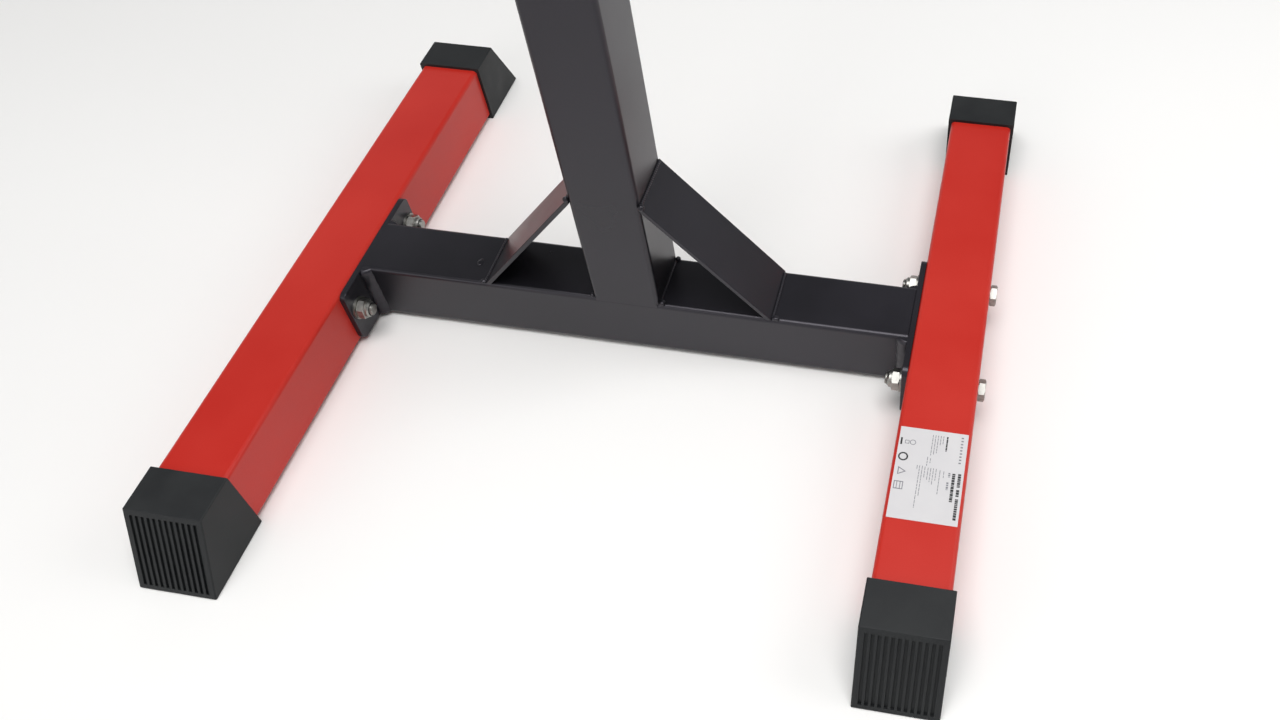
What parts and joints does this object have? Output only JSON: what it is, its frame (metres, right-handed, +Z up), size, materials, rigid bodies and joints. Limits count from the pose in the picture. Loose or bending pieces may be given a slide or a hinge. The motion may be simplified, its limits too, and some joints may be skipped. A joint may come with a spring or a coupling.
{
  "type": "adjustable barbell stand",
  "caption": "Free-standing post on an H-shaped base, with a telescoping mast that a spring pin locks at set heights and a U-shaped cradle for a barbell.",
  "frame": {"origin": "on the floor, under the middle of the post, which is the middle of the base", "axes": "+X along the cross beam towards the foot with the rating label, +Y along the feet away from the pull pin, +Z up"},
  "size_m": [0.6428, 0.6664, 1.183],
  "materials": {
    "red_powder_coat": "satin gloss powder coat",
    "black_powder_coat": "satin powder coat",
    "black_rubber": "matte",
    "zinc_plated_steel": "bright zinc plating",
    "label_film": "printed white film",
    "black_plastic": "moulded, fine grain",
    "spring_steel": "drawn wire"
  },
  "bodies": {
    "base": {"left_foot_tube": "red_powder_coat", "right_foot_tube": "red_powder_coat", "left_front_cap": "black_rubber", "left_rear_cap": "black_rubber", "right_front_cap": "black_rubber", "right_rear_cap": "black_rubber", "cross_beam": "black_powder_coat", "left_mounting_plate": "black_powder_coat", "right_mounting_plate": "black_powder_coat", "post_tube": "black_powder_coat", "left_gusset_strap": "black_powder_coat", "right_gusset_strap": "black_powder_coat", "left_foot_bolts": "zinc_plated_steel", "right_foot_bolts": "zinc_plated_steel", "left_foot_nuts": "zinc_plated_steel", "right_foot_nuts": "zinc_plated_steel", "left_foot_washers": "zinc_plated_steel", "right_foot_washers": "zinc_plated_steel", "rating_label": "label_film", "post_guide_collar": "black_plastic", "pin_housing": "black_powder_coat", "pin_gland_nut": "zinc_plated_steel", "lock_pin_spring": "spring_steel"},
    "mast": {"mast_tube": "black_powder_coat", "mast_guide_shoe": "black_plastic", "cradle_base_plate": "black_powder_coat", "cradle": "black_powder_coat", "cradle_liner": "black_plastic"},
    "pull_pin": {"lock_pin": "zinc_plated_steel", "pin_knob": "black_plastic"}
  },
  "joints": [
    {"name": "mast_height", "type": "slide", "parent": "base", "child": "mast", "axis": [0, 0, 1], "range_m": [0, 0.6]},
    {"name": "pin_pull", "type": "slide", "parent": "base", "child": "pull_pin", "axis": [0, -1, 0], "range_m": [0, 0.012], "stiffness_N_per_m": 800, "springref_m": -0.004, "deforming": ["lock_pin_spring"]}
  ]
}
